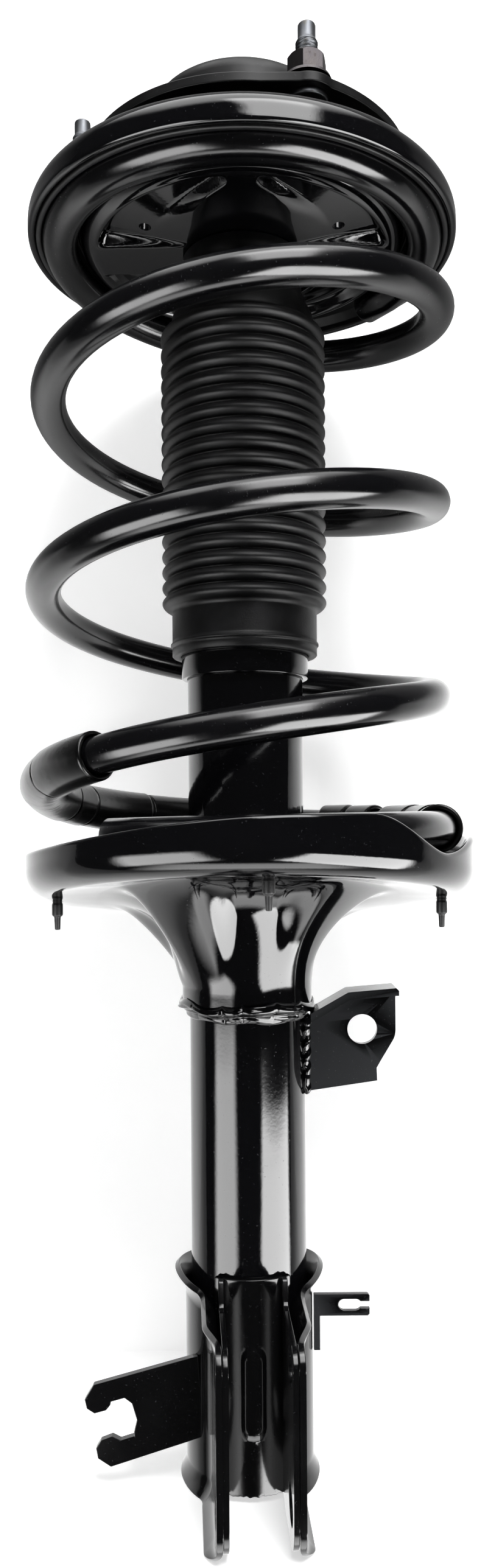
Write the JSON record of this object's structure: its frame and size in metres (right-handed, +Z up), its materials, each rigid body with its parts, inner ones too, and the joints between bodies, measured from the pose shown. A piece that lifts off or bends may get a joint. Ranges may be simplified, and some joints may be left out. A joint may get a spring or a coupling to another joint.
{
  "type": "suspension strut",
  "caption": "Front suspension strut: coil spring between pressed seats over a ribbed boot and damper tube, domed top mount with studs, and flanged knuckle bracket.",
  "frame": {"origin": "centre of the tower stud circle, on the mount plate's upper face that meets the car body", "axes": "+Z up along the damper's axis, which stands 4.8 mm to the +X side; -Y the way the knuckle flanges point; +X the side with the link bracket"},
  "size_m": [0.1781, 0.1764, 0.5441],
  "materials": {
    "plate_paint": "gloss black",
    "seat_paint": "gloss black",
    "tube_paint": "gloss black",
    "bracket_paint": "gloss black",
    "spring_coat": "semi-gloss black",
    "rubber": "satin",
    "boot_rubber": "satin",
    "bump_foam": "matt cellular",
    "zinc": "zinc plated",
    "steel": "bare machined",
    "chrome_rod": "hard chrome",
    "polymer": "satin",
    "band": "satin",
    "weld": "gloss black over weld"
  },
  "bodies": {
    "mount": {"mount_plate": "plate_paint", "tower_studs": "zinc", "stud_nuts": "zinc", "mount_pan": "plate_paint", "mount_bush": "rubber", "mount_core": "steel", "rod_nut": "zinc", "bearing_upper_race": "polymer", "bump_washer": "steel", "bump_stop": "bump_foam", "piston_rod": "chrome_rod", "rebound_stop": "polymer", "piston": "steel", "piston_band": "band", "piston_nut": "zinc"},
    "upper_seat": {"bearing_balls": "steel", "bearing_lower_race": "polymer", "upper_spring_seat": "seat_paint", "upper_isolator": "rubber", "boot_cap": "polymer", "dust_boot": "boot_rubber"},
    "housing": {"coil_spring": "spring_coat", "left_sleeve": "rubber", "rear_sleeve": "rubber", "lower_isolator": "rubber", "lower_spring_seat": "seat_paint", "seat_weld": "weld", "strut_tube": "tube_paint", "tube_cap": "tube_paint", "rod_guide": "steel", "oil_seal": "rubber", "pressure_tube": "steel", "base_valve": "steel", "tube_end_cap": "tube_paint", "knuckle_bracket": "bracket_paint", "bracket_liner": "bracket_paint", "link_bracket": "bracket_paint", "hose_bracket": "bracket_paint", "sensor_wire_bracket": "bracket_paint"}
  },
  "joints": [
    {"name": "steer", "type": "hinge", "parent": "mount", "child": "upper_seat", "pos_m": [0.0048, 0, -0.026], "axis": [0, 0, 1], "range_deg": [-40, 40]},
    {"name": "damper", "type": "slide", "parent": "upper_seat", "child": "housing", "axis": [0, 0, 1], "range_m": [0, 0.085], "stiffness_N_per_m": 22000, "springref_m": -0.04, "deforming": ["coil_spring", "left_sleeve", "rear_sleeve", "dust_boot"]}
  ]
}
